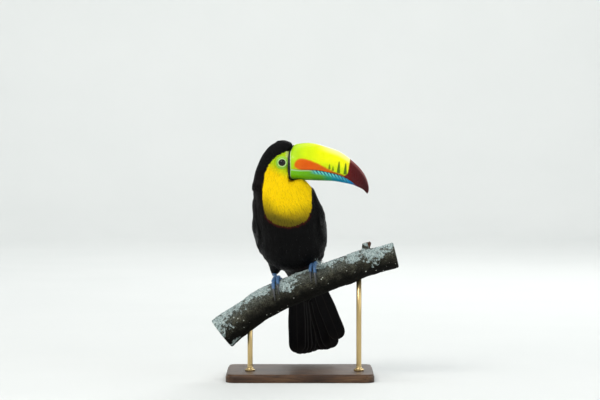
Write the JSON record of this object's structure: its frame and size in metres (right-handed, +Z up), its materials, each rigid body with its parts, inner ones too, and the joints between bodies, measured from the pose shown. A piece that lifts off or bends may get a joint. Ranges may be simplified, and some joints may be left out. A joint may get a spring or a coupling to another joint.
{
  "type": "toucan model",
  "caption": "Life-size still model of a keel-billed toucan gripping a cut length of branch, which short rods hold over a flat display base.",
  "frame": {"origin": "centre of the display base's underside", "axes": "+X to the bird's left, the way its head is turned; -Y to the front, the way its breast faces; +Z up"},
  "size_m": [0.2923, 0.1856, 0.3729],
  "materials": {
    "plumage_black": "soft black feathers with a slight gloss",
    "plumage_yellow": "soft yellow feathers",
    "flight_feathers": "smooth black vanes with a satin gloss",
    "bill_upper": "smooth horn, yellow-green with orange and a maroon tip",
    "bill_lower": "smooth horn, green to blue",
    "eye": "polished dark brown",
    "eyelid": "bare green skin",
    "foot_skin": "blue scaled skin",
    "claw": "dark horn",
    "bark": "rough bark with grey-green lichen",
    "stand_metal": "brushed",
    "stand_wood": "dark satin lacquer"
  },
  "bodies": {
    "root": {"bill_upper": "bill_upper", "bill_lower": "bill_lower", "head": "plumage_black", "neck": "plumage_yellow", "trunk": "plumage_black", "tail": "flight_feathers", "wing_right": "flight_feathers", "thigh_right": "plumage_black", "shank_right": "foot_skin", "eye_right": "eye", "lid_right": "eyelid", "toe_right_1": "foot_skin", "claw_right_1": "claw", "toe_right_2": "foot_skin", "claw_right_2": "claw", "toe_right_3": "foot_skin", "claw_right_3": "claw", "toe_right_4": "foot_skin", "claw_right_4": "claw", "wing_left": "flight_feathers", "thigh_left": "plumage_black", "shank_left": "foot_skin", "eye_left": "eye", "lid_left": "eyelid", "toe_left_1": "foot_skin", "claw_left_1": "claw", "toe_left_2": "foot_skin", "claw_left_2": "claw", "toe_left_3": "foot_skin", "claw_left_3": "claw", "toe_left_4": "foot_skin", "claw_left_4": "claw", "branch": "bark", "stand_rod_1": "stand_metal", "stand_rod_2": "stand_metal", "stand_base": "stand_wood"}
  },
  "joints": []
}
